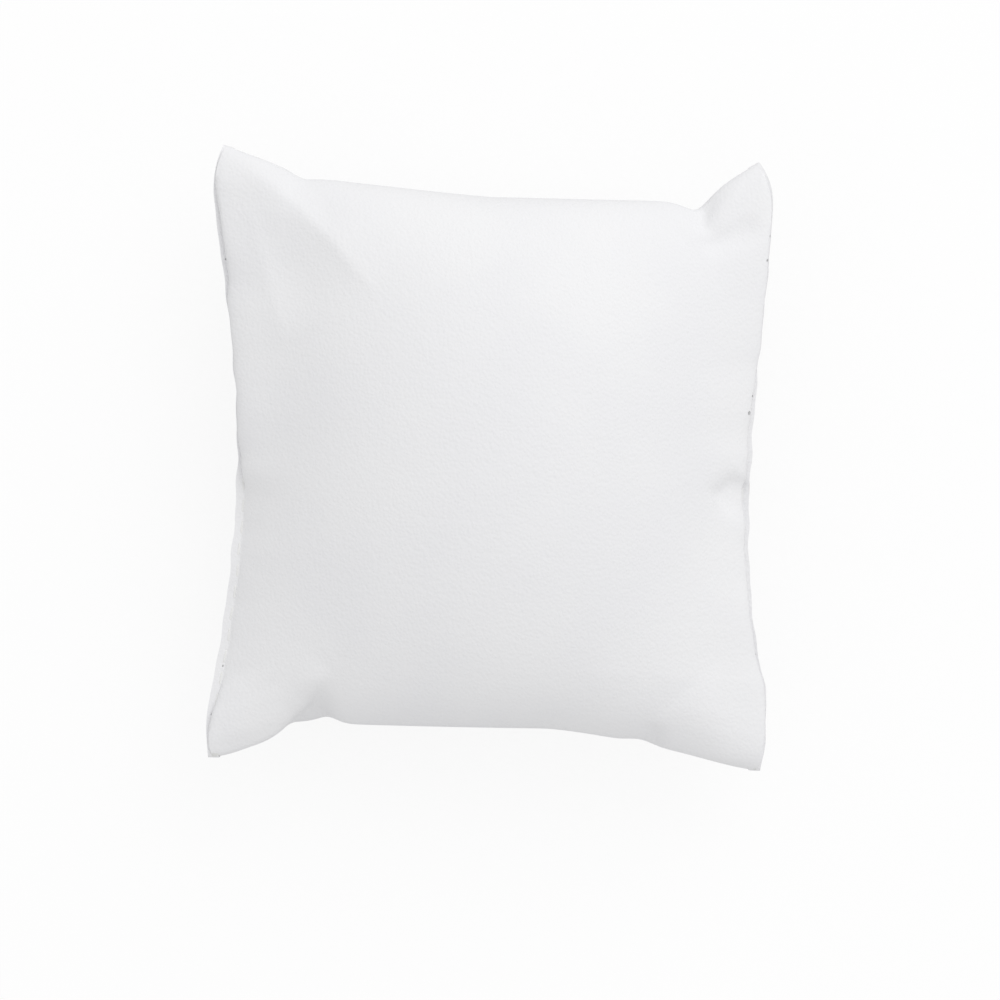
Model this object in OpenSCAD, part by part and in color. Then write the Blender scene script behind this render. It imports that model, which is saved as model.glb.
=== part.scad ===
// A small white display pillow that a watch or a bracelet is buckled round.
// One sheet of leatherette is rolled into a tube, joined across the back by a
// plain seam, stuffed with fibre wadding and topstitched shut at both ends.
// The pillow lies on its back: +X to its right, +Y to its top, +Z out of its face.

/* [Pillow] */
// Width over the raw edges, ear to ear
pillow_w = 91.4; // [75:0.1:120]
// Height from the tips of the lower ears to the tips of the upper ones
pillow_h = 99.7; // [80:0.1:130]
// Thickness in the middle, lying down
pillow_t = 36; // [26:1:44]
// Height of the side seams above the table
seam_z = 17; // [12:0.5:20]
// How full the section from side to side is: 1 is an arc, less is boxier
side_fullness = 0.8; // [0.6:0.05:1.1]

/* [Sheet] */
// Thickness of the leatherette
sheet_t = 0.8; // [0.5:0.1:1.2]
// Gap left between the front and the back layer where they are sewn together
layer_gap = 0.2; // [0.1:0.05:0.4]

/* [Outline] */
// Distance from the tips of the upper ears down to the top fold
top_drop = 7.4; // [3:0.1:10]
// Distance from the tips of the lower ears up to the bottom fold
bottom_drop = 6.2; // [3:0.1:10]
// Pull-in of the left seam at the waist
left_waist = 4.7; // [1:0.1:8]
// Pull-in of the right seam at the waist
right_waist = 3.5; // [1:0.1:8]
// How far the left waist lies below mid-height
left_waist_low = 3; // [0:1:15]
// How far the right waist lies below mid-height
right_waist_low = 8; // [0:1:15]
// Wave of the side seams out of their plane
seam_wave = 0.5; // [0:0.1:1]
// Depth of the tucks along the side seams, as a share of the local thickness
tuck_depth = 0.3; // [0:0.05:0.5]
// Depth of the hollow in each ear, as a share of the local thickness
ear_hollow = 0.5; // [0:0.05:0.7]
// Strength of the creases that run over the face, 1 as on the real one
crease = 1; // [0:0.1:1.3]

/* [Side seams] */
// Width of the sewn margin from its root to the raw edge
margin_w = 1.9; // [1.8:0.1:4]
// Distance of the stitches from the raw edge
stitch_inset = 1.2; // [0.8:0.1:1.6]
// Pitch of the stitches
stitch_pitch = 3.5; // [2.5:0.1:5]
// Visible length of one stitch
stitch_len = 2.6; // [1.5:0.1:4]
// Diameter of the thread
thread_d = 0.4; // [0.2:0.05:0.6]

/* [Back seam] */
// Height of the seam's turned-in margin inside the pillow
tuck_in = 4; // [2:0.5:6]
// Depth of the groove that the seam leaves on the outside
groove_depth = 0.45; // [0.2:0.05:0.6]

/* [Hidden] */

WHITE = [0.93, 0.93, 0.935];
WADDING = [0.96, 0.96, 0.95];
THREAD = [0.88, 0.88, 0.87];

LEFT = -1;
RIGHT = 1;
FRONT = 1;
BACK = -1;

// One row per ear, in the order top left, top right, bottom left, bottom right.
// Along the fold: the ear's width, the hollowness of its outline, the distance, depth
// and width of the notch at its root, and the rise of the fold towards it.
// Along the side: the rounding of its tip, how far the tip falls short upwards and
// sideways, the height share from which it has its full width, and its flare
EARS = [
    [12, 0.78, 16, 0, 3, 3.6, 1.35, 0, 0, 0.83, 1.35],
    [8.4, 0.87, 10, 1.5, 3.6, 0, 2.3, 1, 0.7, 0.84, 1.4],
    [12, 0.55, 18.2, 0.9, 2.2, 0, 0.4, 0.2, 0.9, 0.85, 0.8],
    [30, 1.25, 18, 0.4, 2.5, 0, 0.7, 0, 0, 0.72, 0.65]
];
RISE_W = 43;
HOLLOW_W = 6;
HOLLOW_REACH = 8;

// Creases over the face: both ends as shares of the half width and half height,
// height of the ridge or, below zero, of the valley, and width
CREASES = [
    [-0.97, 0.98, -0.44, 0.56, 1.3, 4.5],
    [-1, 0.8, -0.58, 0.45, -0.9, 5],
    [-0.87, 0.71, -0.68, 0.35, 0.5, 3.5],
    [0.93, 0.96, 0.72, 0.74, 0.9, 3.5],
    [0.96, 0.81, 0.64, 0.67, -0.9, 4],
    [0.94, -0.03, 0.76, -0.15, -1.4, 4],
    [-0.66, -0.9, -0.54, -0.62, -1.5, 4.5],
    [0.96, -0.99, 0.7, -0.74, 0.9, 5]
];
CREASE_ROOT = 3; // thickness over which a crease fades out towards the seams and folds

// Tucks along the side seams: side and height on the pillow, as a share of half of it
TUCKS = [
    [LEFT, 0.35], [LEFT, 0.04], [LEFT, -0.23], [LEFT, -0.49],
    [RIGHT, 0.27], [RIGHT, -0.08], [RIGHT, -0.44]
];
TUCK_REACH = 8;
TUCK_W = 4;

// The middle section is an oval; towards the seams it sharpens to a lens
OVAL_POWER = 0.9;
LENS_POWER = 1.4;

TIP_START = 0.88; // share of the half height where the ears' outer edge turns in
WAVE_COUNT = 3.5;

half_w = pillow_w / 2;
half_h = pillow_h / 2 - sheet_t;
crown = pillow_t - seam_z - sheet_t - layer_gap / 2;
thread_r = thread_d / 2;
thread_clear = 0.08;
fill_clear = 0.15;

// Half width of the two turned-in layers of the back seam
ridge_half = sheet_t;
groove_half = 0.1;
// They stand on slightly wider feet, and their thread runs along half their height
lip_half = ridge_half + 0.3;
ridge_thread_y = (ridge_half + lip_half) / 2 + thread_clear + thread_r;
// Half width and headroom of the slot that they and their thread take in the filling
slot_side = 0.3;
slot_half = ridge_thread_y + thread_r + slot_side;
slot_clear = 0.6;
RIDGE_RUN = 0.7; // share of the width along which the turned-in margin has its full height

// Grid of the sheet: stations run from the left raw edge to the right one
HALF_STATIONS = 12;
STATION_SPREAD = 81; // angle that crowds the stations towards the seams
RING_STEPS = 12; // steps from the middle of a face to a fold
FOLD_STEP = 0.975; // an extra step close to the folds

function share(v) = sin(STATION_SPREAD * v) / sin(STATION_SPREAD);
body_stations = [for (k = [-HALF_STATIONS : HALF_STATIONS]) share(k / HALF_STATIONS)];
// Each station: its share of the body's half width, and how far it is out in the margin
STATIONS = concat(
    [[-1, margin_w], [-1, margin_w - stitch_inset]],
    [for (v = body_stations) [v, 0]],
    [[1, margin_w - stitch_inset], [1, margin_w]]
);
LAST = len(STATIONS) - 1;
FIRST_FILLED = 3;
LAST_FILLED = LAST - FIRST_FILLED;

// Ring round the tube, each point a height share, a face and its place in the back
// seam: 0 away from it, 1 on its lips, 2 in its depth
steps_up = concat([for (k = [1 : RING_STEPS - 1]) k / RING_STEPS], [FOLD_STEP]);
steps_down = [for (k = [len(steps_up) - 1 : -1 : 0]) steps_up[k]];
RING = concat(
    [[-1, BACK, 2], [-1, BACK, 1]],
    [for (t = steps_up) [-t, BACK, 0]],
    [[-1, 0, 0]],
    [for (t = steps_down) [-t, FRONT, 0]],
    [[0, FRONT, 0]],
    [for (t = steps_up) [t, FRONT, 0]],
    [[1, 0, 0]],
    [for (t = steps_down) [t, BACK, 0]],
    [[1, BACK, 1], [1, BACK, 2]]
);
COUNT = len(RING);
MIDDLE = 2 * len(steps_up) + 3; // the middle of the face
BOTTOM_FOLD = len(steps_up) + 2;
TOP_FOLD = 3 * len(steps_up) + 4;

function bump(x, width) = exp(-pow(x / width, 2));
function unit(a) = a / norm(a);
function sum(list) = list * [for (item = list) 1];
function ear(up, side) = EARS[(up > 0 ? 0 : 2) + (side > 0 ? 1 : 0)];

// Outline of a side at height share t, pulled in at the waist
function outline_x(t, side) =
    let (
        e = ear(t, side),
        waist = side > 0 ? right_waist : left_waist,
        low = (side > 0 ? right_waist_low : left_waist_low) / half_h,
        d = t + low,
        span = e[9] + (d > 0 ? low : -low),
        pull = (waist - e[8]) * pow(cos(90 * min(1, abs(d) / span)), e[10])
    )
    half_w - e[8] - pull - e[6] * pow(max(0, abs(t) - TIP_START) / (1 - TIP_START), 2);
function root_x(t, side) = outline_x(t, side) - margin_w;
function wave(t, side) = seam_wave * sin(360 * WAVE_COUNT / 2 * t + 40 * side) * (1 - t * t);

// Height of a fold above the middle, at distance d from the margin's root
function fold_height(t, d, e) =
    let (drop = t > 0 ? top_drop : bottom_drop)
    half_h - drop
        + (drop - e[5] - e[7]) * pow(max(0, 1 - d / e[0]), e[1])
        + e[5] * pow(max(0, 1 - d / RISE_W), 1.5)
        - e[3] * bump(d - e[2], e[4]);

// Height of the creases at a place on the face
function creases_at(x, y) =
    crease * sum([for (c = CREASES)
        let (
            a = [c[0] * half_w, c[1] * half_h],
            b = [c[2] * half_w, c[3] * half_h],
            s = max(0, min(1, ([x, y] - a) * (b - a) / ((b - a) * (b - a))))
        )
        c[4] * bump(norm([x, y] - a - s * (b - a)), c[5]) * (1 - pow(abs(2 * s - 1), 3))
    ]);

// Share of the full thickness, across the pillow and then up it
function across(v) = pow(max(0, 1 - v * v), side_fullness);
function section_angle(t, ratio) =
    let (w = pow(ratio, 1.6)) (1 - w) * asin(t) + w * 90 * t;
function tuck(t, v) =
    let (side = v < 0 ? LEFT : RIGHT, d = (1 - abs(v)) * half_w)
    1 - tuck_depth * bump(d, TUCK_REACH)
        * max([for (k = TUCKS) k[0] == side ? bump((t - k[1]) * half_h, TUCK_W) : 0]);

// The inside face of the sheet, at share v of the half width and height share t
function lining(v, out, t, face) =
    let (
        side = v < 0 ? LEFT : RIGHT,
        x_left = -root_x(t, LEFT),
        x_right = root_x(t, RIGHT),
        x = (x_left + x_right) / 2 + v * (x_right - x_left) / 2 + side * out,
        swell = crown * across(v),
        e = ear(t, side),
        d = (1 - abs(v)) * (half_w - margin_w),
        height = fold_height(t, d, e),
        angle = section_angle(t, swell / height),
        power = OVAL_POWER + (LENS_POWER - OVAL_POWER) * pow(abs(v), 2),
        y = height * sin(angle),
        hollow = 1 - ear_hollow * bump(d - e[0] / 2, HOLLOW_W) * bump(height - abs(y), HOLLOW_REACH),
        depth = abs(t) == 1 ? 0 : layer_gap / 2 + swell * pow(cos(angle), power) * tuck(t, v) * hollow,
        lift = face == FRONT ? creases_at(x, y) * min(1, depth / CREASE_ROOT) : 0,
        middle = seam_z + wave(t, side) * pow(abs(v), 6)
    )
    [x, y, max(middle + face * (depth + lift), sheet_t)];

// Height share of a ring point; the back seam's points have a set distance from the middle
function ring_t(r, half) = r[2] == 0 ? r[0] : r[0] * half / half_h;
function base(i, j) =
    let (s = STATIONS[i], r = RING[j])
    lining(s[0], s[1], ring_t(r, r[2] == 2 ? ridge_half : lip_half), r[1]);
BASE = [for (i = [0 : LAST]) [for (j = [0 : COUNT - 1]) base(i, j)]];

function normal_at(i, j) =
    let (
        along = BASE[min(i + 1, LAST)][j] - BASE[max(i - 1, 0)][j],
        round_it = BASE[i][(j + 1) % COUNT] - BASE[i][(j + COUNT - 1) % COUNT]
    )
    unit(cross(along, round_it));

// How high the back seam's margin stands at a station
function ridge(i) = tuck_in * min(1, across(STATIONS[i][0]) / 0.4);

function inner_point(i, j) =
    BASE[i][j] - (RING[j][2] == 2 ? ridge(i) : 0) * normal_at(i, j);
function outer_point(i, j) =
    let (p = BASE[i][j], n = normal_at(i, j))
    RING[j][2] == 2
        ? [p[0], RING[j][0] * groove_half, p[2]] + (sheet_t - groove_depth) * n
        : p + sheet_t * n;
// The ring point that lies over or under point j
function opposite(j) =
    j == 0 || j == COUNT - 1 ? MIDDLE
        : j <= MIDDLE ? 2 * BOTTOM_FOLD - j : 2 * TOP_FOLD - j;
function fill_point(i, j) =
    let (
        r = RING[j],
        s = STATIONS[i],
        p = r[2] == 0 ? BASE[i][j] : lining(s[0], s[1], r[0] * slot_half / half_h, r[1]),
        room = norm(BASE[i][j] - BASE[i][opposite(j)]),
        clear = abs(r[0]) == 1 ? fill_clear : min(fill_clear, room / 4),
        inward = r[2] == 2 ? ridge(i) + slot_clear : clear
    )
    p - inward * normal_at(i, j);

function quad(a, b, c, d) = [[a, b, c], [a, c, d]];
function flat(list) = [for (item = list) each item];

// Faces of a tube of n stations whose first point has index first
function tube_faces(n, first, turned) =
    flat([for (i = [0 : n - 2], j = [0 : COUNT - 1])
        let (
            k = (j + 1) % COUNT,
            a = first + i * COUNT + j,
            b = first + i * COUNT + k
        )
        turned
            ? [[a, b + COUNT, b], [a, a + COUNT, b + COUNT]]
            : [[a, b, b + COUNT], [a, b + COUNT, a + COUNT]]
    ]);

module cover() {
    n = LAST + 1;
    inner = n * COUNT;
    points = concat(
        flat([for (i = [0 : LAST]) [for (j = [0 : COUNT - 1]) outer_point(i, j)]]),
        flat([for (i = [0 : LAST]) [for (j = [0 : COUNT - 1]) inner_point(i, j)]])
    );
    left_edge = flat([for (j = [0 : COUNT - 1])
        let (k = (j + 1) % COUNT)
        quad(k, j, inner + j, inner + k)
    ]);
    end = LAST * COUNT;
    right_edge = flat([for (j = [0 : COUNT - 1])
        let (k = (j + 1) % COUNT)
        quad(end + j, end + k, inner + end + k, inner + end + j)
    ]);
    color(WHITE)
        polyhedron(points, concat(
            tube_faces(n, 0, false),
            tube_faces(n, inner, true),
            left_edge,
            right_edge
        ));
}

// Faces that close a ring whose first point has index first, from fold to fold
function end_faces(first) =
    let (
        faces = concat(
            [for (m = [0 : len(steps_up)], fold = [BOTTOM_FOLD, TOP_FOLD])
                quad(fold - m, fold + m, fold + m + 1, fold - m - 1)],
            [[[MIDDLE, COUNT - 2, COUNT - 1], [MIDDLE, COUNT - 1, 0], [MIDDLE, 0, 1]]]
        )
    )
    [for (f = flat(faces)) if (f[0] != f[1]) [for (k = f) first + k]];

module filling() {
    n = LAST_FILLED - FIRST_FILLED + 1;
    points = flat([for (i = [FIRST_FILLED : LAST_FILLED]) [for (j = [0 : COUNT - 1]) fill_point(i, j)]]);
    left_end = [for (f = end_faces(0)) [f[2], f[1], f[0]]];
    right_end = end_faces((n - 1) * COUNT);
    color(WADDING)
        polyhedron(points, concat(tube_faces(n, 0, false), left_end, right_end));
}

// One stitch from p to q
module stitch(p, q) {
    v = q - p;
    len = norm(v);
    translate(p)
        rotate([0, acos(v[2] / len), atan2(v[1], v[0])])
            cylinder(h = len, r = thread_r, $fn = 16);
}

// Centre line of the thread on one face of a side margin
function margin_line(t, side, face) =
    let (p = lining(side, margin_w - stitch_inset, t, face))
    p + [0, 0, face * (sheet_t + thread_r + thread_clear)];

module side_thread(side) {
    run = 2 * half_h - 2 * stitch_pitch;
    count = floor(run / stitch_pitch);
    half = stitch_len / 2 / half_h;
    color(THREAD)
        for (k = [0 : count - 1], face = [FRONT, BACK]) {
            t = (k - (count - 1) / 2) * stitch_pitch / half_h;
            stitch(margin_line(t - half, side, face), margin_line(t + half, side, face));
        }
}

module left_seam_thread() side_thread(LEFT);
module right_seam_thread() side_thread(RIGHT);

// Centre line of the thread on one side of the back seam's turned-in margin
ridge_reach = (root_x(0, LEFT) + root_x(0, RIGHT)) / 2;
function ridge_line(x, up) =
    let (p = lining(x / ridge_reach, 0, 0, BACK))
    [p[0], up * ridge_thread_y, p[2] + tuck_in / 2];

module back_seam_thread() {
    run = 2 * ridge_reach * RIDGE_RUN;
    count = floor(run / stitch_pitch);
    color(THREAD)
        for (k = [0 : count - 1], up = [-1, 1]) {
            x = (k - (count - 1) / 2) * stitch_pitch;
            stitch(ridge_line(x - stitch_len / 2, up), ridge_line(x + stitch_len / 2, up));
        }
}

cover();
filling();
left_seam_thread();
right_seam_thread();
back_seam_thread();
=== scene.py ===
# A small stuffed display pillow of white leatherette, lying on its back.
# One sheet is rolled round the wadding: its top and bottom are plain folds, its
# sides are pressed flat and topstitched with raw edges, and its back has a seam.
import math

import bpy
import numpy as np
from mathutils import Matrix, Vector


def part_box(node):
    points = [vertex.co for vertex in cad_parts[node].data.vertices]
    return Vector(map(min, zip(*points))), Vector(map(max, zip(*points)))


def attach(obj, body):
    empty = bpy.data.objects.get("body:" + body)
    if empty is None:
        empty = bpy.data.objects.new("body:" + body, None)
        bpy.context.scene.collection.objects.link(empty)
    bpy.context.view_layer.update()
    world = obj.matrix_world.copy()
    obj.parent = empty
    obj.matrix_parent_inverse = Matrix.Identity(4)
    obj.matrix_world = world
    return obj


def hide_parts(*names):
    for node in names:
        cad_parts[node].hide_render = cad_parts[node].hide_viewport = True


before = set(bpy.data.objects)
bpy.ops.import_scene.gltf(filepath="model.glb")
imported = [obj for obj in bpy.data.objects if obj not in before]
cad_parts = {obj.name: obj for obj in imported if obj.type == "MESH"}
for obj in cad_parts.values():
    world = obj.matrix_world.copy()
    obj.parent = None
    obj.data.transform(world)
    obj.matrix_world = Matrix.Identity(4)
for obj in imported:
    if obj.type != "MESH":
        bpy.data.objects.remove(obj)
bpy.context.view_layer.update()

MM = 0.001
LEFT, RIGHT = -1, 1
FRONT, BACK = 1, -1

# Driving sizes, from the frame where it has them
cover_low, cover_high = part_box("cover")
HALF_W = (cover_high.x - cover_low.x) / 2
HALF_H = (cover_high.y - cover_low.y) / 2
CROWN_Z = cover_high.z
SEAM_Z = 17 * MM
SHEET = 0.8 * MM
LAYER_GAP = 0.2 * MM
MARGIN = 1.9 * MM
STITCH_INSET = 1.2 * MM
STITCH_PITCH = 3.5 * MM
STITCH_LEN = 2.6 * MM
THREAD_R = 0.2 * MM
THREAD_SINK = 0.09 * MM
FLAP_HIGH = 4.0 * MM
PRESS_EDGE = 0.5 * MM

# The sheet's middle surface, where it is pressed flat and where it is full
TUBE_H = HALF_H - SHEET / 2
LAYER_Z = (LAYER_GAP + SHEET) / 2
CROWN = CROWN_Z - SHEET / 2 - SEAM_Z
SEAM_W = HALF_W - MARGIN

# Needle holes, with a little relief and a grey painted shade: faint ones all along the stitching,
# and pricks painted dark as the shade in small dents at the stitch ends, each by side, distance
# from the raw edge, height up the pillow and size in millimetres. Both kinds fade out between
# the two values of their edge.
HOLE_W = 0.12 * MM
HOLE_LONG = 0.3 * MM
HOLE_SHADE = 0.2
HOLE_EDGE = (0.5, 1.5)
PRICK_LONG = 1.6
PRICK_EDGE = (0.3, 1.5)
PAINTED_PRICK_SHADES = [
    (RIGHT, 2.9, 38.7, 0.12),
    (RIGHT, 3.1, 34.6, 0.12),
    (RIGHT, 3.0, 11.5, 0.13),
    (RIGHT, 3.2, 8.6, 0.2),
    (RIGHT, 2.9, -30.9, 0.08),
    (LEFT, 0.75, 31.2, 0.1),
    (LEFT, 1.2, -34.8, 0.1),
    (LEFT, 0.75, -42.7, 0.11),
]

# Outline: the folds lie lower than the ear tips, and the side seams are pulled in
TOP_DROP, BOTTOM_DROP = 7.4 * MM, 5.8 * MM
WAIST = {LEFT: 4.85 * MM, RIGHT: 3.5 * MM}
WAIST_LOW = {LEFT: 3 * MM, RIGHT: 8 * MM}
TIP_START = 0.88
RISE_POWER = 1.1

# Section: a full oval in the middle turns to a flat lens at the side seams
SIDE_FULLNESS = 0.8
OVAL_POWER, LENS_POWER = 0.9, 1.4
FULL_POWER = 1.6

# The side seams are a little uneven along the sheet and wave out of its plane. Each
# wave has its turns, its shift from side to side and its share.
UNEVEN = 0.12 * MM
UNEVEN_WAVES = [(31, 1, 1), (53, 0, 1)]
UNEVEN_POWER = 12
SWAY = 0.35 * MM
SWAY_WAVES = [(11, 0.7, 1), (25, 2, 0.5)]
SWAY_POWER = 6

# How much of the sewn margin's width shows from the front, up each side, as pairs of
# height and share: where it shows little, the stuffed sheet beside it rolls over it
MARGIN_SHOWS = {
    LEFT: [
        (-1, 0.05), (-0.94, 0.1), (-0.88, 0.3), (-0.82, 0.6), (-0.74, 0.95), (-0.15, 1),
        (-0.03, 0.3), (0.1, 0.12), (0.45, 0.12), (0.6, 0.42), (0.72, 0.3), (0.86, 0.25),
        (0.91, 0.06), (1, 0.06),
    ],
    RIGHT: [
        (-1, 0.05), (-0.9, 0.08), (-0.5, 0.25), (-0.3, 0.35), (0, 0.35), (0.12, 0.4),
        (0.2, 0.3), (0.35, 0.1), (0.85, 0.1), (0.91, 0.05), (1, 0.05),
    ],
}
ROLL_REACH = 1.5 * MM
ROLL_SHARE = 1.5
ROLL_LIFT = 0.7 * MM
ROLL_RISE = 6
ROLL_FADE = 4
ROLL_END_POWER = 20

# The tuck beside the lower left ear, where the fold is pushed back: how far below the
# middle it starts, as a share of the half height, and its least and full reach and how
# steeply it ends, left to the ear and right away from it
TUCK_X = -27.5 * MM
TUCK_DEPTH = 6.5 * MM
TUCK_START = {FRONT: 0.82, BACK: 0.93}
TUCK_POWER = {FRONT: 1.0, BACK: 0.8}
TUCK_REACH = {LEFT: (0.8 * MM, 3.8 * MM), RIGHT: (1.0 * MM, 3.2 * MM)}
TUCK_STEEP = {LEFT: 5, RIGHT: 3}


class Ear:
    """One corner of the pillow, where the fold runs out to a flat tip.

    Lengths are in millimetres. The fold climbs over the ear's width, more hollow with
    a higher power, after a longer rise across the pillow. The tip has a flat top and a
    rounded raw edge, and may stay short of the full height and width. The side seam is
    pulled in below full_from, with flare as its power. The notch beside the ear has a
    place, a depth and a width.
    """

    def __init__(
            self, width, hollow, flat, rounding, full_from, flare, notch,
            rise=0, short_up=0, short_out=0):
        self.width = width * MM
        self.hollow = hollow
        self.flat = flat * MM
        self.rounding = rounding * MM
        self.full_from = full_from
        self.flare = flare
        self.rise = rise * MM
        self.short_up = short_up * MM
        self.short_out = short_out * MM
        self.notch_at, self.notch_deep, self.notch_w = (size * MM for size in notch)


EARS = {
    ("top", LEFT): Ear(
        width=12.6, hollow=0.72, flat=0, rounding=1.35, full_from=0.83, flare=1.1,
        rise=3.8, notch=(14, 0.3, 2)),
    ("top", RIGHT): Ear(
        width=9.6, hollow=0.8, flat=0, rounding=2.3, full_from=0.84, flare=1.4,
        short_up=0.7, short_out=0.85, notch=(10.6, 1.5, 3.1)),
    ("bottom", LEFT): Ear(
        width=10.6, hollow=0.55, flat=1.9, rounding=0.4, full_from=0.85, flare=0.88,
        short_out=0.9, notch=(17.6, 1.05, 2.2)),
    ("bottom", RIGHT): Ear(
        width=34, hollow=1.35, flat=1.9, rounding=0.7, full_from=0.72, flare=0.65,
        notch=(18, 0.65, 2.5)),
}


class Crease:
    """A ridge, or below zero a valley, along points in shares of the half width and height.

    Its height and its widths left and right of its direction are in millimetres.
    """

    def __init__(self, points, height, left, right=None, sharp=False):
        self.points = [np.array(point) * (HALF_W, HALF_H) for point in points]
        self.height = height * MM
        self.left = left * MM
        self.right = (right or left) * MM
        self.sharp = sharp


CREASES = [
    # Upper left ear: the long ridge to the middle, and three shallow folds beside it
    Crease([(-0.97, 0.98), (-0.74, 0.81), (-0.57, 0.68), (-0.4, 0.5)], 1.1, 7.0, 2.6, sharp=True),
    Crease([(-1.0, 0.82), (-0.78, 0.64), (-0.58, 0.45)], -0.6, 5.0),
    Crease([(-0.88, 0.8), (-0.81, 0.61), (-0.72, 0.34)], 0.5, 3.5, sharp=True),
    Crease([(-0.7, 0.95), (-0.63, 0.82), (-0.56, 0.7)], -0.25, 2.5),
    # Upper right ear: its ridge, the notch's furrow and the valley below
    Crease(
        [(0.92, 0.985), (0.84, 0.863), (0.779, 0.774), (0.737, 0.734), (0.69, 0.69)],
        0.9, 1.6, 4.0, sharp=True),
    Crease([(0.765, 0.88), (0.723, 0.735)], -0.8, 1.5),
    Crease([(0.93, 0.788), (0.844, 0.733), (0.77, 0.7085), (0.74, 0.67)], -0.7, 2.0),
    # The dent halfway up the right seam
    Crease([(0.89, -0.04), (0.86, -0.07), (0.79, -0.13)], -1.1, 3.5, 1.8),
    # Lower left ear: the ridge beside the tuck
    Crease([(-0.86, -0.99), (-0.7, -0.87), (-0.6, -0.75), (-0.55, -0.69)], 1.0, 3.0, 0.9, sharp=True),
    # Lower right ear: its broad ridge and the furrow of its notch
    Crease([(0.96, -0.99), (0.7, -0.74)], 0.9, 5.0),
    Crease([(0.6, -1.0), (0.605, -0.84)], -0.8, 1.4),
]
CREASE_ROOT = 1.2 * MM
CREASE_CAP = 0.85
CREASE_FADE = 3

# The sheet as a grid: columns run across the pillow, rows run round it
BODY_COLUMNS = 62
MARGIN_STEPS = [1.0, 0.72, 0.42, 0.2]
SEAM_STEPS = [0.3 * MM, 0.75 * MM]
HALF_ROWS = 36
LAST_STEP = 0.99
SMOOTH_ANGLE = math.radians(50)

# The turned-in edges of the back seam, from their free edge down to the lip: distance
# from the middle in millimetres and share of their height, and the distances where
# they butt together in the margins
FLAP = [(0.42, 1.0), (0.42, 0.65), (0.42, 0.3), (0.5, 0.15), (0.78, 0.045)]
BUTT = [0.42, 0.42, 0.05, 0.34, 0.78]
FREE_FLAP_ROWS = 2
FLAP_RUN = 0.35
FLAP_CUT = 0.3 * FLAP_RUN
BACK_SHIFT = 60 * STITCH_PITCH

# The cloth is simulated at ten times its size, at which the solver is steady
SIM_SCALE = 10
SIM_FRAMES = 24
SIM_CAP = 2.5 * MM
REST_SEAM_W = 41.5 * MM
REST_SLACK = 1.05
REST_LAYER_Z = 0.01 * MM
SEAM_PIN = 0.2
CLOTH = {
    "pin_stiffness": 1,
    "quality": 6,
    "mass": 0.05,
    "use_pressure": True,
    "uniform_pressure_force": 6,
    "tension_stiffness": 40,
    "compression_stiffness": 40,
    "shear_stiffness": 13,
    "bending_stiffness": 0.3,
    "tension_damping": 5,
    "compression_damping": 5,
    "shear_damping": 5,
    "bending_damping": 0.5,
    "air_damping": 2,
}

# The wadding: its distance from the sheet's middle, how far out it reaches, and its
# slot over the back seam's turned-in edges
WADDING_GAP = 0.8 * MM
WADDING_REACH = 0.9
SLOT_DEPTH = FLAP_HIGH + 1.2 * MM
SLOT_HALF = 1.7 * MM
SLOT_MOUTH = 1.9 * MM
MERGE = 0.001 * MM
WADDING_ANGLE = math.radians(60)

# One stitch: its straight middle, and the steps in which its ends dip into the sheet,
# each by its share of the length, its dip in millimetres and its narrowing
STITCH_SIDES = 10
STITCH_MIDDLE = 0.5
STITCH_END = [(0.13, 0.04, 0.97), (0.08, 0.12, 0.9), (0.05, 0.2, 0.8)]
END_SLIVER = 0.01 * MM

# Finishes
LEATHERETTE_TONES = [(0.815, 0.815, 0.83), (0.835, 0.835, 0.845)]
# Painted shade: the needle holes and pricks are darkened to this grey, laid on at this strength
PAINTED_HOLE_SHADE_TONE = (0.42, 0.42, 0.42)
PAINTED_HOLE_SHADE_STRENGTH = 0.85
HOLE_DEPTH = 2
PEBBLE_SHARE, WANDER_SHARE, FINE_SHARE = 0.7, 0.6, 0.25
GRAIN_RELIEF = 0.085 * MM
LEATHERETTE_ROUGH, ROUGH_SWING = 0.62, 0.12
LEATHERETTE_SPECULAR = 0.3
KNIT_TONES = [(0.68, 0.68, 0.67), (0.8, 0.8, 0.79)]
KNIT_RELIEF = 0.06 * MM
THREAD_TONES = [(0.79, 0.79, 0.78), (0.86, 0.86, 0.85)]
THREAD_RELIEF = 0.04 * MM
FIBRE_TONES = [(0.8, 0.8, 0.79), (0.92, 0.92, 0.91)]
FIBRE_RELIEF = 0.4 * MM
WHITE = (1, 1, 1)

# Studio: one softbox up and to the right, an even white room and a pale floor, which
# seen itself is mostly plain white and so keeps a light shadow
KEY_PLACE = (0.47, 0.82, 0.74)
KEY_SIZE = 1.0
KEY_POWER = 4.8
ROOM_LIGHT = 0.83
FLOOR_SIZE = 6
FLOOR_TONES = [(0.76, 0.76, 0.76), (0.94, 0.94, 0.94)]
FLOOR_WHITENESS = 0.85

# Camera: straight above, turned so that the pillow leans clockwise as photographed
CAMERA_HEIGHT = 0.8
CAMERA_TURN = math.radians(1.4)
CAMERA_AIM = (1.85 * MM, -6.84 * MM)
VIEW_WIDTH = 162.1 * MM
SENSOR = 36


def bump(x, width):
    return math.exp(-(x / width) ** 2)


def blend(a, b, share):
    return a + (b - a) * share


def side_of(v):
    return LEFT if v < 0 else RIGHT


def ear_at(t, side):
    return EARS["top" if t > 0 else "bottom", side]


def waist(t, side):
    """How far a side seam is pulled in at height share t."""
    ear = ear_at(t, side)
    low = WAIST_LOW[side] / TUBE_H
    away = t + low
    span = ear.full_from + (low if away > 0 else -low)
    pull = math.cos(math.pi / 2 * min(1, abs(away) / span)) ** ear.flare
    return (WAIST[side] - ear.short_out) * pull


def margin_shows(t, side):
    """The share of the margin's width that shows at height share t."""
    knots = MARGIN_SHOWS[side]
    for (low, at_low), (high, at_high) in zip(knots, knots[1:]):
        if t <= high:
            share = (t - low) / (high - low)
            return blend(at_low, at_high, share * share * (3 - 2 * share))
    return knots[-1][1]


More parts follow.
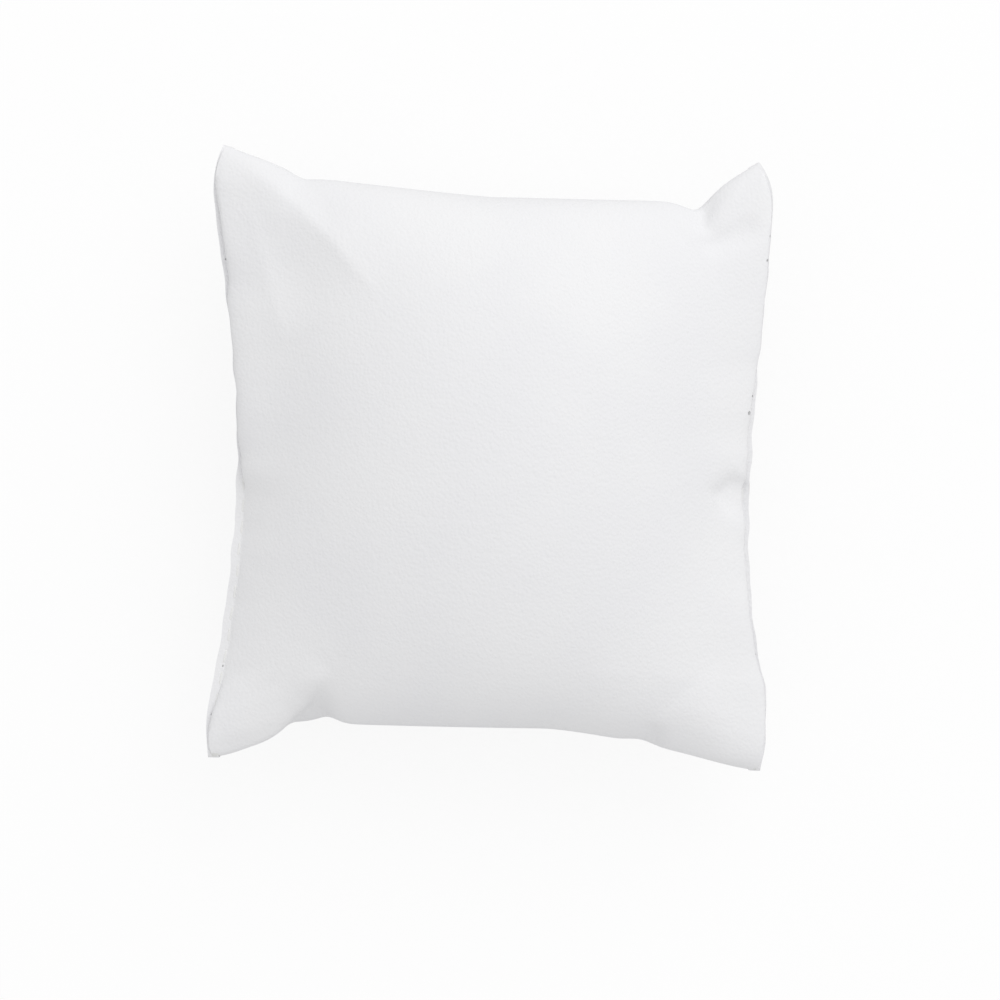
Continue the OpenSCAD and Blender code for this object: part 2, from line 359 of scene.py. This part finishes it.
def seam_x(t, side):
    """Distance of a side seam from the middle, without its small unevenness."""
    ear = ear_at(t, side)
    tip = ear.rounding * (max(0, abs(t) - TIP_START) / (1 - TIP_START)) ** 2
    return SEAM_W - ear.short_out - waist(t, side) - tip


def ripple(t, side, waves):
    """Waves along a side seam that die out at its ends."""
    swings = [share * math.sin(turns * t + shift * side) for turns, shift, share in waves]
    return sum(swings) * (1 - t * t)


def fold_y(t, inside, ear):
    """Height of a fold at a distance inside the raw edge."""
    inside = max(0, inside - ear.flat)
    drop = TOP_DROP if t > 0 else BOTTOM_DROP
    up = (drop - ear.rise - ear.short_up) * max(0, 1 - inside / ear.width) ** ear.hollow
    up += ear.rise * max(0, 1 - inside / HALF_W) ** RISE_POWER
    return TUBE_H - drop + up - ear.notch_deep * bump(inside - ear.notch_at, ear.notch_w)


def fullness(v):
    return max(0, 1 - v * v) ** SIDE_FULLNESS


def stuffed(v, out, t, face):
    """A point of the stuffed sheet: v from seam to seam, t from fold to fold."""
    side = side_of(v)
    left, right = -seam_x(t, LEFT), seam_x(t, RIGHT)
    x = (left + right) / 2 + v * (right - left) / 2
    x += side * (out + UNEVEN * ripple(t, side, UNEVEN_WAVES) * abs(v) ** UNEVEN_POWER)
    height = fold_y(t, (1 - abs(v)) * SEAM_W + MARGIN - out, ear_at(t, side))
    swell = CROWN * fullness(v)
    full = min(1, swell / height) ** FULL_POWER
    angle = blend(math.asin(t), math.pi / 2 * t, full)
    power = blend(OVAL_POWER, LENS_POWER, v * v)
    belly = swell * math.cos(angle) ** power
    depth = 0 if abs(t) == 1 else math.hypot(LAYER_Z, belly)
    middle = SEAM_Z + SWAY * ripple(t, side, SWAY_WAVES) * abs(v) ** SWAY_POWER
    return Vector((x, height * math.sin(angle), middle + face * depth))


def roll(shape):
    """Rolls the stuffed sheet beside each side seam out over the sewn margin."""
    for i, (v, out) in enumerate(COLUMNS):
        side = side_of(v)
        from_seam = (1 - abs(v)) * SEAM_W
        inside = from_seam / ROLL_REACH
        if out or not inside:
            continue
        for j, (t, face) in enumerate(RING):
            over = ROLL_SHARE * MARGIN * (1 - margin_shows(t, side))
            moved = over * inside * math.exp(1 - inside)
            at_fold = abs(t) ** ROLL_END_POWER
            ear = ear_at(t, side)
            taller = fold_y(t, from_seam + MARGIN - moved, ear) / fold_y(t, from_seam + MARGIN, ear)
            lift = ROLL_LIFT * over / MARGIN * (1 - at_fold)
            shape[i, j, 0] += side * moved
            shape[i, j, 1] *= blend(1, taller, at_fold)
            shape[i, j, 2] += face * lift * (1 - math.exp(-ROLL_RISE * inside)) * bump(inside, ROLL_FADE)


def tuck_reach(t, face):
    """How far into the tuck a row lies, from 0 where it starts to 1 at the fold."""
    return max(0, -t - TUCK_START[face]) / (1 - TUCK_START[face])


def tuck(shape):
    """Pushes the bottom fold back beside the lower left ear, which leaves a pocket."""
    for j, (t, face) in enumerate(RING):
        pushed = TUCK_DEPTH * tuck_reach(t, face) ** TUCK_POWER[face]
        for i in range(len(COLUMNS)):
            away = shape[i, j, 0] - TUCK_X
            side = side_of(away)
            near = abs(away) / blend(*TUCK_REACH[side], tuck_reach(t, FRONT))
            shape[i, j, 2] -= pushed * math.exp(-near ** TUCK_STEEP[side])


def column_list():
    """The columns across the pillow, as their place v and distance out in a margin."""
    margin = [share * MARGIN for share in MARGIN_STEPS]
    spread = {-1 + 2 * i / BODY_COLUMNS for i in range(BODY_COLUMNS + 1)}
    spread |= {side * (1 - step / SEAM_W) for side in (LEFT, RIGHT) for step in SEAM_STEPS}
    body = [(v, 0) for v in sorted(spread)]
    return [(-1, out) for out in margin] + body + [(1, out) for out in reversed(margin)]


def ring_list():
    """Round the pillow from the back's middle: down, up the front and down the back."""
    steps = [j / HALF_ROWS for j in range(1, HALF_ROWS)] + [LAST_STEP]
    lower_back = [(-t, BACK) for t in steps]
    lower_front = [(-t, FRONT) for t in reversed(steps)]
    upper_front = [(t, FRONT) for t in steps]
    upper_back = [(t, BACK) for t in reversed(steps)]
    return (
        [(0, BACK)] + lower_back + [(-1, FRONT)] + lower_front + [(0, FRONT)]
        + upper_front + [(1, FRONT)] + upper_back
    )


COLUMNS = column_list()
RING = ring_list()


def deselect_all():
    bpy.ops.object.select_all(action="DESELECT")


def make_active(piece):
    deselect_all()
    piece.select_set(True)
    bpy.context.view_layer.objects.active = piece


def set_all(target, settings):
    for name, value in settings.items():
        setattr(target, name, value)


def apply_modifier(piece, kind, **settings):
    """Adds a modifier to a piece, sets it and applies it."""
    make_active(piece)
    modifier = piece.modifiers.new(kind.lower(), kind)
    set_all(modifier, settings)
    bpy.ops.object.modifier_apply(modifier=modifier.name)


def vertex_values(mesh, name):
    """The points or normals of a mesh as rows of x, y, z."""
    values = np.empty(3 * len(mesh.vertices))
    mesh.vertices.foreach_get(name, values)
    return values.reshape(-1, 3)


def set_points(mesh, points):
    mesh.vertices.foreach_set("co", np.asarray(points, dtype=float).ravel())
    mesh.update()


def tube_faces(columns, rows):
    return [
        (i * rows + j, (i + 1) * rows + j, (i + 1) * rows + (j + 1) % rows, i * rows + (j + 1) % rows)
        for i in range(columns - 1)
        for j in range(rows)
    ]


def make_settling_sheet(shape):
    """A copy of the stuffed sheet with flat rest lengths, pinned at its sewn sides."""
    rows = len(RING)
    mesh = bpy.data.meshes.new("settling_sheet")
    mesh.from_pydata((shape * SIM_SCALE).reshape(-1, 3).tolist(), [], tube_faces(len(COLUMNS), rows))
    sheet = bpy.data.objects.new("settling_sheet", mesh)
    bpy.context.scene.collection.objects.link(sheet)
    sheet.shape_key_add(name="stuffed")
    flat = sheet.shape_key_add(name="flat")
    pins = sheet.vertex_groups.new(name="sewn")
    for i, (v, out) in enumerate(COLUMNS):
        for j, (t, face) in enumerate(RING):
            x = v * REST_SEAM_W + side_of(v) * out
            z = 0 if abs(t) == 1 else face * REST_LAYER_Z
            flat.data[i * rows + j].co = Vector((x, REST_SLACK * t * TUBE_H, z)) * SIM_SCALE
        if abs(v) == 1:
            pins.add(list(range(i * rows, (i + 1) * rows)), 1 if out else SEAM_PIN, "REPLACE")
    flat.value = 0
    return sheet


def relax(shape):
    """Lets the stuffed sheet settle as cloth with flat rest lengths under pressure."""
    sheet = make_settling_sheet(shape)
    cloth = sheet.modifiers.new("cloth", "CLOTH")
    set_all(cloth.settings, CLOTH)
    cloth.settings.vertex_group_mass = "sewn"
    cloth.settings.rest_shape_key = sheet.data.shape_keys.key_blocks["flat"]
    cloth.settings.effector_weights.gravity = 0
    cloth.collision_settings.use_collision = False
    cloth.collision_settings.use_self_collision = False
    cloth.point_cache.frame_start = 1
    cloth.point_cache.frame_end = SIM_FRAMES
    for step in range(1, SIM_FRAMES + 1):
        bpy.context.scene.frame_set(step)
    graph = bpy.context.evaluated_depsgraph_get()
    settled = vertex_values(sheet.evaluated_get(graph).data, "co") / SIM_SCALE
    bpy.context.scene.frame_set(1)
    bpy.data.objects.remove(sheet)
    travel = settled.reshape(shape.shape) - shape
    reach = np.maximum(np.linalg.norm(travel, axis=2, keepdims=True), np.finfo(float).tiny)
    return shape + travel * (SIM_CAP * np.tanh(reach / SIM_CAP) / reach)


def stuffed_shape():
    """Points of the stuffed sheet as an array of columns, ring points and x, y, z."""
    shape = np.array([[stuffed(v, out, t, face) for t, face in RING] for v, out in COLUMNS])
    shape = relax(shape)
    tuck(shape)
    roll(shape)
    return shape


def inward_normals(shape):
    """Unit normals of the tube that point into the wadding."""
    columns = len(shape)
    after = shape[[min(i + 1, columns - 1) for i in range(columns)]]
    before = shape[[max(i - 1, 0) for i in range(columns)]]
    round_it = np.roll(shape, -1, axis=1) - np.roll(shape, 1, axis=1)
    normals = -np.cross(after - before, round_it)
    return normals / np.linalg.norm(normals, axis=2, keepdims=True)


def flap_rows(shape, normals, half):
    """Rows of one turned-in edge of the back seam, from its free edge to its lip."""
    middle = shape[:, 0]
    beside = shape[:, 1 if half == BACK else -1]
    away = beside - middle
    away /= np.linalg.norm(away, axis=1, keepdims=True)
    rows = []
    for (apart, high), butt in zip(FLAP, BUTT):
        row = []
        for i, (v, out) in enumerate(COLUMNS):
            tall = min(1, fullness(v) / FLAP_RUN)
            along = blend(butt, apart, tall) * MM
            up = FLAP_HIGH * high * tall
            row.append(middle[i] + along * away[i] + up * normals[i, 0])
        rows.append(row)
    return rows


def sheet_rows(shape):
    """All rows of the cut sheet, from one turned-in edge round to the other."""
    normals = inward_normals(shape)
    lower = flap_rows(shape, normals, BACK)
    upper = flap_rows(shape, normals, FRONT)
    body = [shape[:, j] for j in range(1, len(RING))]
    return np.array(lower + body + upper[::-1])


def row_coordinates():
    """For each row of the sheet, its face and its distance up the pillow."""
    lower = [(BACK, FLAP_HIGH * high) for apart, high in FLAP]
    upper = [(BACK, -FLAP_HIGH * high) for apart, high in reversed(FLAP)]
    body = [(face, t * TUBE_H) for t, face in RING[1:]]
    return lower + body + upper


def lay_flat_coordinates(mesh):
    """The sheet's own coordinates as a UV map in metres: across it and up the pillow.

    The back's are shifted by whole stitches, so that it gets none of the painted shade of the pricks.
    """
    across = [MARGIN + (v + 1) * SEAM_W + side_of(v) * out for v, out in COLUMNS]
    rows = row_coordinates()
    count = len(across)
    layer = mesh.uv_layers[0].data
    for polygon in mesh.polygons:
        levels = [mesh.loops[k].vertex_index // count for k in polygon.loop_indices]
        on_back = any(rows[level][0] == BACK for level in levels)
        for k in polygon.loop_indices:
            index = mesh.loops[k].vertex_index
            up = rows[index // count][1] + (BACK_SHIFT if on_back else 0)
            layer[k].uv = (across[index % count], up)


def cut_free_flaps(piece):
    """Takes the turned-in edges off where they would lie in the pressed margins."""
    mesh = piece.data
    count = len(COLUMNS)
    rows = len(mesh.vertices) // count
    for polygon in mesh.polygons:
        spots = [divmod(k, count) for k in polygon.vertices]
        level = min(j for j, i in spots)
        in_flap = level < FREE_FLAP_ROWS or level >= rows - 1 - FREE_FLAP_ROWS
        low = any(fullness(COLUMNS[i][0]) < FLAP_CUT for j, i in spots)
        polygon.select = in_flap and low
    make_active(piece)
    bpy.context.tool_settings.mesh_select_mode = (False, False, True)
    bpy.ops.object.mode_set(mode="EDIT")
    bpy.ops.mesh.delete(type="FACE")
    bpy.ops.object.mode_set(mode="OBJECT")


def distance_to(points, line):
    """Distance of each point to a line of points, how far along it, and if right of it."""
    legs = [end - start for start, end in zip(line, line[1:])]
    total = sum(np.linalg.norm(leg) for leg in legs)
    away = np.full(len(points), np.inf)
    along = np.zeros(len(points))
    on_right = np.zeros(len(points), dtype=bool)
    before = 0
    for start, leg in zip(line, legs):
        apart = points - start
        share = np.clip((apart @ leg) / (leg @ leg), 0, 1)
        reach = np.linalg.norm(apart - share[:, None] * leg, axis=1)
        nearer = reach < away
        away[nearer] = reach[nearer]
        along[nearer] = (before + share[nearer] * np.linalg.norm(leg)) / total
        on_right[nearer] = (leg[0] * apart[:, 1] < leg[1] * apart[:, 0])[nearer]
        before += np.linalg.norm(leg)
    return away, along, on_right


def crease_heights(points):
    """How far the creases raise or sink each point of the face."""
    lift = np.zeros(len(points))
    thick = points[:, 2] - SEAM_Z
    for crease in CREASES:
        away, along, on_right = distance_to(points[:, :2], crease.points)
        near = away / np.where(on_right, crease.right, crease.left)
        profile = np.exp(-near) if crease.sharp else np.exp(-near ** 2)
        lift += crease.height * profile * (1 - np.abs(2 * along - 1) ** CREASE_FADE)
    return np.maximum(lift * np.clip(thick / CREASE_ROOT, 0, 1), -CREASE_CAP * np.maximum(thick, 0))


def pressed_flat(heights, lowest):
    """Heights of an underside that is pressed flat where the pillow rests, with a soft edge."""
    above = heights - lowest
    return lowest + (above + np.hypot(above, PRESS_EDGE)) / 2


def add_grid(name, rows):
    """A primitive grid laid along rows of points."""
    deselect_all()
    bpy.ops.mesh.primitive_grid_add(
        x_subdivisions=len(rows[0]) - 1, y_subdivisions=len(rows) - 1, size=2)
    piece = bpy.context.object
    piece.name = name
    set_points(piece.data, rows)
    return piece


def make_cover(shape):
    cover = add_grid("leatherette_cover", sheet_rows(shape))
    lay_flat_coordinates(cover.data)
    cut_free_flaps(cover)
    apply_modifier(cover, "SUBSURF", levels=1, render_levels=1)
    points = vertex_values(cover.data, "co")
    points += crease_heights(points)[:, None] * vertex_values(cover.data, "normal")
    points[:, 2] = pressed_flat(points[:, 2], SHEET / 2)
    set_points(cover.data, points)
    cover.data.materials.append(leatherette())
    cover.data.materials.append(knit_backing())
    apply_modifier(
        cover, "SOLIDIFY", thickness=SHEET, offset=0, use_rim=True,
        material_offset=1, material_offset_rim=1)
    make_active(cover)
    bpy.ops.object.shade_smooth_by_angle(angle=SMOOTH_ANGLE)
    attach(cover, "root")
    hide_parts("cover")


class Signal:
    """A socket of a material's nodes that can stand in a Python expression."""

    def __init__(self, nodes, socket):
        self.nodes = nodes
        self.socket = socket

    def also(self, output):
        """Another output of the same node."""
        return Signal(self.nodes, self.socket.node.outputs[output])

    def math(self, operation, *others):
        inputs = dict(enumerate((self,) + others))
        return self.nodes.add("ShaderNodeMath", {"operation": operation}, inputs)

    def __add__(self, other):
        return self.math("ADD", other)

    __radd__ = __add__

    def __sub__(self, other):
        return self.math("SUBTRACT", other)

    def __rsub__(self, other):
        return (self * -1) + other

    def __mul__(self, other):
        return self.math("MULTIPLY", other)

    __rmul__ = __mul__

    def __truediv__(self, other):
        return self.math("DIVIDE", other)

    def __pow__(self, power):
        return self.math("POWER", power)

    def above(self, low, high):
        """Rises from 0 to 1 as the signal goes from low to high."""
        settings = {"interpolation_type": "SMOOTHSTEP"}
        inputs = {"Value": self, "From Min": low, "From Max": high}
        return self.nodes.add("ShaderNodeMapRange", settings, inputs)


def rgba(colour):
    return colour if isinstance(colour, Signal) else (*colour, 1)


class Nodes:
    """The nodes of one material, or of the room's light."""

    def __init__(self, owner):
        self.owner = owner
        owner.use_nodes = True
        self.tree = owner.node_tree
        self.tree.nodes.clear()

    def add(self, kind, settings=None, inputs=None, output=0):
        node = self.tree.nodes.new(kind)
        set_all(node, settings or {})
        for name, value in (inputs or {}).items():
            if isinstance(value, Signal):
                self.tree.links.new(value.socket, node.inputs[name])
            else:
                node.inputs[name].default_value = value
        return Signal(self, node.outputs[output]) if node.outputs else None

    def texture(self, kind, scale, settings=None, **inputs):
        place = self.add("ShaderNodeTexCoord", output="Object")
        return self.add(kind, settings, {"Vector": place, "Scale": scale, **inputs})

    def noise(self, scale, detail=2.0, roughness=0.5):
        return self.texture("ShaderNodeTexNoise", scale, Detail=detail, Roughness=roughness)

    def mix(self, share, low, high):
        """One colour where the share is 0 and another where it is 1."""
        inputs = {0: share, 6: rgba(low), 7: rgba(high)}
        return self.add("ShaderNodeMix", {"data_type": "RGBA"}, inputs, output=2)

    def relief(self, height, depth):
        return self.add("ShaderNodeBump", None, {"Height": height, "Distance": depth})

    def seen_by_camera(self):
        """1 where the camera looks straight at it, 0 where it only lights the pillow."""
        return self.add("ShaderNodeLightPath", output="Is Camera Ray")

    def surface(self, shader, kind="ShaderNodeOutputMaterial"):
        self.add(kind, None, {"Surface": shader})
        return self.owner

    def finish(self, **sockets):
        named = {name.replace("_", " "): value for name, value in sockets.items()}
        return self.surface(self.add("ShaderNodeBsdfPrincipled", None, named))


def new_finish(name):
    return Nodes(bpy.data.materials.new(name))


def needle_holes_and_shade(nodes):
    """1 in the pricks, less in the needle holes along both raw edges, 0 elsewhere: their relief and
    painted shade.
    """
    flat = nodes.add("ShaderNodeUVMap", {"uv_map": "UVMap"})
    across = nodes.add("ShaderNodeSeparateXYZ", None, {0: flat})
    up = across.also("Y")
    width = 2 * (MARGIN + SEAM_W)
    edge = across.math("MINIMUM", width - across)
    phase = (up / STITCH_PITCH).math("FRACT")
    beside = (edge - STITCH_INSET) / HOLE_W
    along = (phase - 0.5) * (STITCH_PITCH / HOLE_LONG)
    holes_and_shade = (1 - (beside ** 2 + along ** 2).above(*HOLE_EDGE)) * HOLE_SHADE
    for side, inset, height, size in PAINTED_PRICK_SHADES:
        place = inset * MM if side == LEFT else width - inset * MM
        beside = (across - place) / (size * MM)
        along = (up - height * MM) / (PRICK_LONG * size * MM)
        holes_and_shade = holes_and_shade.math("MAXIMUM", 1 - (beside ** 2 + along ** 2).above(*PRICK_EDGE))
    return holes_and_shade


def leatherette():
    """White coated sheet with a fine pebbled grain, and grey painted shade in its needle holes and
    pricks.
    """
    nodes = new_finish("white_leatherette")
    pebbles = nodes.texture(
        "ShaderNodeTexVoronoi", scale=1900, settings={"feature": "SMOOTH_F1"},
        Smoothness=0.35, Randomness=1.0)
    wander = nodes.noise(scale=600, detail=3)
    fine = nodes.noise(scale=5200)
    broad = nodes.noise(scale=45)
    holes_and_shade = needle_holes_and_shade(nodes)
    grain = (1 - pebbles) * PEBBLE_SHARE + wander * WANDER_SHARE + fine * FINE_SHARE
    plain = nodes.mix(broad.above(low=0.3, high=0.7), *LEATHERETTE_TONES)
    return nodes.finish(
        # Painted shade: the needle holes and pricks are darkened to a grey, besides their bump
        Base_Color=nodes.mix(holes_and_shade * PAINTED_HOLE_SHADE_STRENGTH, plain, PAINTED_HOLE_SHADE_TONE),
        Roughness=LEATHERETTE_ROUGH + (wander - 0.5) * ROUGH_SWING,
        Specular_IOR_Level=LEATHERETTE_SPECULAR,
        Normal=nodes.relief(grain - holes_and_shade * HOLE_DEPTH, GRAIN_RELIEF),
    )


def knit_backing():
    """The sheet's inner side and its cut edges: an off-white knit."""
    nodes = new_finish("knit_backing")
    loops = nodes.texture("ShaderNodeTexVoronoi", scale=2600)
    fuzz = nodes.noise(scale=1500, detail=3)
    return nodes.finish(
        Base_Color=nodes.mix(fuzz, *KNIT_TONES),
        Roughness=0.95,
        Normal=nodes.relief(loops + fuzz, KNIT_RELIEF),
    )


def thread_finish():
    nodes = new_finish("white_thread")
    twist = nodes.noise(scale=3500)
    return nodes.finish(
        Base_Color=nodes.mix(twist, *THREAD_TONES),
        Roughness=0.6,
        Normal=nodes.relief(twist, THREAD_RELIEF),
    )


def wadding_finish():
    nodes = new_finish("fibre_wadding")
    fibres = nodes.noise(scale=900, detail=6, roughness=0.7)
    return nodes.finish(
        Base_Color=nodes.mix(fibres, *FIBRE_TONES),
        Roughness=1.0,
        Normal=nodes.relief(fibres, FIBRE_RELIEF),
    )


def select_end(stitch, end):
    """Selects the faces that close one end of a stitch."""
    bpy.ops.object.mode_set(mode="EDIT")
    bpy.ops.mesh.select_all(action="DESELECT")
    bpy.ops.object.mode_set(mode="OBJECT")
    reach = max(end * vertex.co.x for vertex in stitch.data.vertices)
    for polygon in stitch.data.polygons:
        polygon.select = end * polygon.center.x > reach - END_SLIVER


def make_stitch():
    """One stitch: a straight middle whose ends are drawn down into the sheet."""
    deselect_all()
    bpy.ops.mesh.primitive_cylinder_add(
        vertices=STITCH_SIDES, radius=THREAD_R, depth=STITCH_LEN * STITCH_MIDDLE,
        end_fill_type="TRIFAN", rotation=(0, math.pi / 2, 0))
    bpy.ops.object.transform_apply(location=True, rotation=True, scale=True)
    stitch = bpy.context.object
    bpy.context.tool_settings.mesh_select_mode = (False, False, True)
    for end in (LEFT, RIGHT):
        for step, dip, size in STITCH_END:
            select_end(stitch, end)
            bpy.ops.object.mode_set(mode="EDIT")
            bpy.ops.mesh.extrude_region_move(
                TRANSFORM_OT_translate={"value": (end * step * STITCH_LEN, 0, -dip * MM)})
            bpy.ops.transform.resize(value=(1, size, size))
            bpy.ops.object.mode_set(mode="OBJECT")
    return stitch


def seat_on_margin(middle, side, face):
    """Place and turn of a stitch at a height share, sunk a little into the margin."""
    half = STITCH_LEN / 2 / TUBE_H
    normal = Vector((0, 0, face))
    ends = [stuffed(side, MARGIN - STITCH_INSET, middle + end * half, face) for end in (-1, 1)]
    seats = [end + SHEET / 2 * normal for end in ends]
    along = (seats[1] - seats[0]).normalized()
    beside = normal.cross(along).normalized()
    up = along.cross(beside)
    centre = (seats[0] + seats[1]) / 2 - THREAD_SINK * up
    return Matrix.Translation(centre) @ Matrix((along, beside, up)).transposed().to_4x4()


def make_stitching(name, side, node, pattern, thread):
    """A row of stitches on both faces of one margin."""
    count = int((2 * TUBE_H - 2 * STITCH_PITCH) / STITCH_PITCH)
    parts = []
    for face in (FRONT, BACK):
        for k in range(count):
            middle = (k - (count - 1) / 2) * STITCH_PITCH / TUBE_H
            part = pattern.copy()
            part.data = pattern.data.copy()
            bpy.context.scene.collection.objects.link(part)
            part.data.transform(seat_on_margin(middle, side, face))
            parts.append(part)
    deselect_all()
    for part in parts:
        part.select_set(True)
    bpy.context.view_layer.objects.active = parts[0]
    bpy.ops.object.join()
    stitching = bpy.context.object
    stitching.name = name
    stitching.data.materials.clear()
    stitching.data.materials.append(thread)
    bpy.ops.object.shade_smooth()
    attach(stitching, "root")
    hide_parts(node)


def make_wadding(shape):
    """The fibre filling: the inside of the cover, with a slot over the back seam."""
    inside = [i for i, (v, out) in enumerate(COLUMNS) if abs(v) < WADDING_REACH]
    normals = inward_normals(shape)
    lift = crease_heights(shape.reshape(-1, 3)).reshape(shape.shape[:2])
    points = (shape + (WADDING_GAP - lift)[:, :, None] * normals)[inside]
    slot = shape[inside, 0] + SLOT_DEPTH * normals[inside, 0]
    for j in (-1, 0, 1):
        points[:, j] = slot - np.array((0, j * SLOT_HALF, 0))
    for j in (-1, 1):
        points[:, 2 * j, 1] = shape[inside, 0, 1] - j * SLOT_MOUTH
    points[:, :, 2] = pressed_flat(points[:, :, 2], SHEET / 2 + WADDING_GAP)
    ends = np.repeat(points[[0, -1]].mean(axis=1, keepdims=True), len(RING), axis=1)
    points = np.concatenate((ends[:1], points, ends[1:]))
    rows = [points[:, j] for j in range(len(RING))]
    wadding = add_grid("wadding_core", rows + rows[:1])
    bpy.ops.object.mode_set(mode="EDIT")
    bpy.ops.mesh.select_all(action="SELECT")
    bpy.ops.mesh.remove_doubles(threshold=MERGE)
    bpy.ops.mesh.normals_make_consistent(inside=False)
    bpy.ops.object.mode_set(mode="OBJECT")
    wadding.data.materials.append(wadding_finish())
    bpy.ops.object.shade_smooth_by_angle(angle=WADDING_ANGLE)
    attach(wadding, "root")
    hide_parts("filling")


def dress_back_thread(thread):
    """The back seam's own thread keeps its solid and gets the thread's finish."""
    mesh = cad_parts["back_seam_thread"].data
    mesh.materials.clear()
    mesh.materials.append(thread)


def make_floor():
    deselect_all()
    bpy.ops.mesh.primitive_plane_add(size=FLOOR_SIZE)
    floor = bpy.context.object
    floor.name = "floor"
    nodes = new_finish("pale_floor")
    seen = nodes.seen_by_camera()
    paint = nodes.add("ShaderNodeBsdfDiffuse", None, {"Color": nodes.mix(seen, *FLOOR_TONES)})
    white = nodes.add("ShaderNodeEmission", None, {"Color": rgba(WHITE), "Strength": 1.0})
    shader = nodes.add("ShaderNodeMixShader", None, {0: seen * FLOOR_WHITENESS, 1: paint, 2: white})
    floor.data.materials.append(nodes.surface(shader))


def make_room():
    """An even white light all round, seen as plain white."""
    room = bpy.data.worlds.new("studio")
    bpy.context.scene.world = room
    nodes = Nodes(room)
    light = nodes.add("ShaderNodeBackground", None, {"Color": rgba(WHITE), "Strength": ROOM_LIGHT})
    white = nodes.add("ShaderNodeBackground", None, {"Color": rgba(WHITE), "Strength": 1.0})
    inputs = {0: nodes.seen_by_camera(), 1: light, 2: white}
    nodes.surface(nodes.add("ShaderNodeMixShader", None, inputs), "ShaderNodeOutputWorld")


def add_softbox():
    deselect_all()
    bpy.ops.object.light_add(type="AREA", location=KEY_PLACE)
    lamp = bpy.context.object
    lamp.name = "key_softbox"
    lamp.data.shape = "SQUARE"
    lamp.data.size = KEY_SIZE
    lamp.data.energy = KEY_POWER
    lamp.rotation_euler = (-Vector(KEY_PLACE)).to_track_quat("-Z", "Y").to_euler()


def make_camera():
    deselect_all()
    place = Vector((*CAMERA_AIM, SEAM_Z + CAMERA_HEIGHT))
    bpy.ops.object.camera_add(location=place, rotation=(0, 0, CAMERA_TURN))
    camera = bpy.context.object
    camera.data.sensor_width = SENSOR
    camera.data.lens = SENSOR * CAMERA_HEIGHT / VIEW_WIDTH
    camera.data.dof.use_dof = False
    bpy.context.scene.camera = camera
    bpy.context.scene.view_settings.view_transform = "Standard"


def main():
    make_camera()
    make_room()
    make_floor()
    add_softbox()
    shape = stuffed_shape()
    make_cover(shape)
    make_wadding(shape)
    thread = thread_finish()
    stitch = make_stitch()
    make_stitching("left_stitching", LEFT, "left_seam_thread", stitch, thread)
    make_stitching("right_stitching", RIGHT, "right_seam_thread", stitch, thread)
    bpy.data.objects.remove(stitch)
    dress_back_thread(thread)


main()
